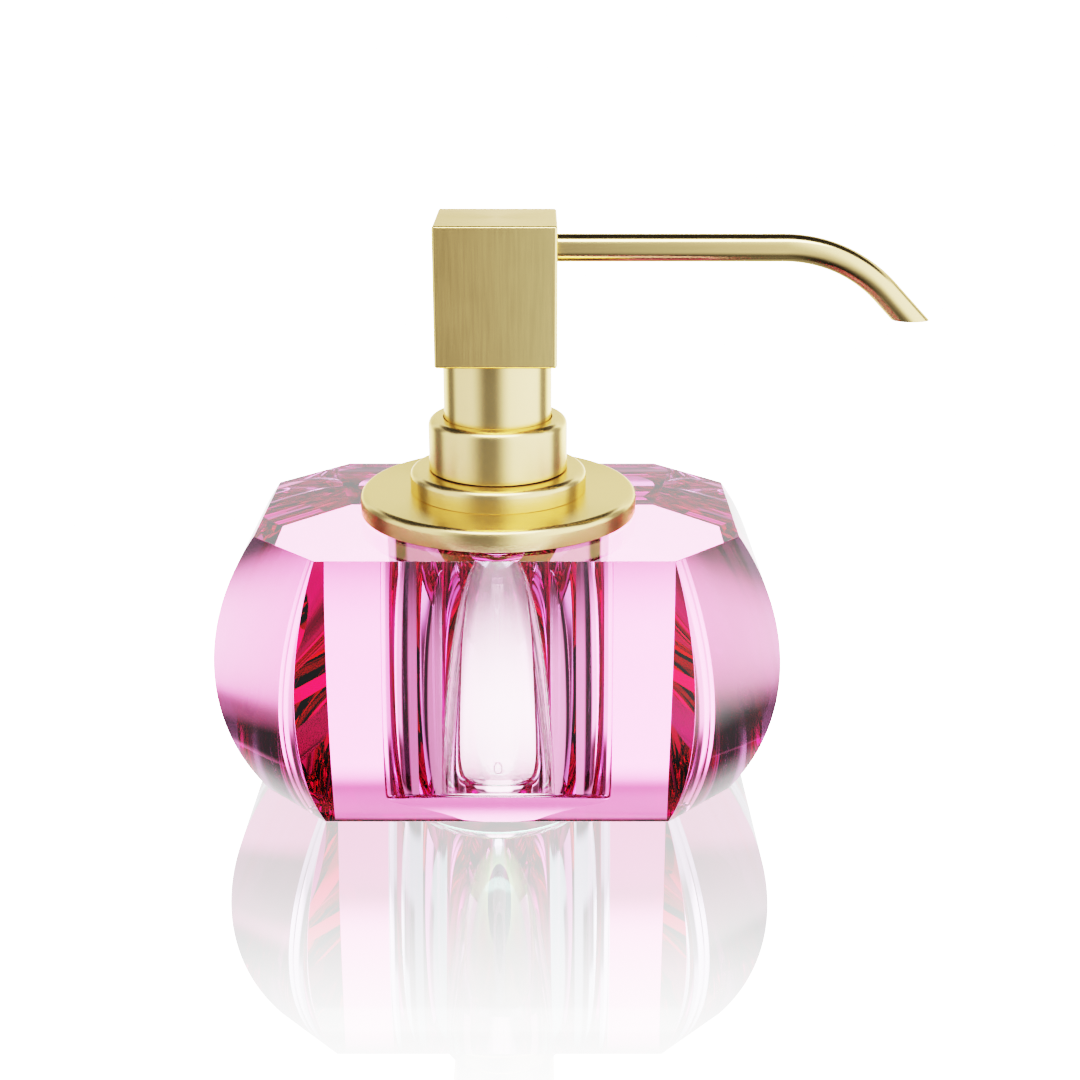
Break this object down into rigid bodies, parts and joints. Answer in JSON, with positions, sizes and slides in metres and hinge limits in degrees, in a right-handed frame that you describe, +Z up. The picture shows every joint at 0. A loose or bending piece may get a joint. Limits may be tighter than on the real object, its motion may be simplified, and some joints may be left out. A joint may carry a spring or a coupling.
{
  "type": "soap pump dispenser",
  "caption": "Faceted pink glass bottle with a screw-in brass pump, square press head and long bent spout, for liquid soap or lotion.",
  "frame": {"origin": "centre of the bottle's flat base, on the pump's axis", "axes": "+Z up along the pump's axis, +X towards the spout's tip, -Y towards the wide front facet"},
  "size_m": [0.1518, 0.087, 0.1226],
  "materials": {
    "crystal": "polished, pink throughout",
    "brass": "finely brushed pale gold",
    "steel": "bright",
    "white_plastic": "moulded",
    "black_plastic": "moulded",
    "clear_plastic": "clear extruded",
    "seal": "matte"
  },
  "bodies": {
    "bottle": {"glass_body": "crystal", "flange_gasket": "clear_plastic", "neck_flange": "brass", "neck_ring": "brass"},
    "closure_seal": {"closure_gasket": "seal"},
    "pump_unit": {"pump_housing": "white_plastic", "retaining_ring": "steel", "stem_guide": "white_plastic", "spring_seat": "white_plastic", "return_spring": "steel", "dip_tube": "clear_plastic"},
    "collar": {"collar_shell": "brass", "collar_core": "black_plastic"},
    "inlet_valve": {"inlet_ball": "steel"},
    "plunger": {"piston": "white_plastic"},
    "head": {"head_shell": "brass", "head_insert": "white_plastic", "sleeve": "brass", "stem": "white_plastic", "stem_seal": "seal", "spout_tube": "brass", "spout_liner": "clear_plastic", "spout_seal": "seal"},
    "outlet_valve": {"outlet_ball": "steel"}
  },
  "joints": [
    {"name": "pump_lift", "type": "slide", "parent": "bottle", "child": "closure_seal", "axis": [0, 0, 1], "range_m": [0, 0.07]},
    {"name": "pump_rise", "type": "slide", "parent": "closure_seal", "child": "pump_unit", "axis": [0, 0, 1], "range_m": [0, 0.005]},
    {"name": "collar_turn", "type": "hinge", "parent": "pump_unit", "child": "collar", "pos_m": [0, 0, 0.069], "axis": [0, 0, 1], "range_deg": [0, 900]},
    {"name": "inlet_lift", "type": "slide", "parent": "pump_unit", "child": "inlet_valve", "axis": [0, 0, 1], "range_m": [0, 0.0015]},
    {"name": "press", "type": "slide", "parent": "pump_unit", "child": "plunger", "axis": [0, 0, -1], "range_m": [0, 0.0115], "stiffness_N_per_m": 800, "springref_m": -0.006, "deforming": ["return_spring"]},
    {"name": "head_swivel", "type": "hinge", "parent": "plunger", "child": "head", "pos_m": [0, 0, 0.0933], "axis": [0, 0, 1], "continuous": true},
    {"name": "outlet_lift", "type": "slide", "parent": "head", "child": "outlet_valve", "axis": [0, 0, 1], "range_m": [0, 0.001]}
  ],
  "couplings": [
    {"joint": "pump_rise", "follows": "collar_turn", "m_per_rad": 0.000318}
  ]
}
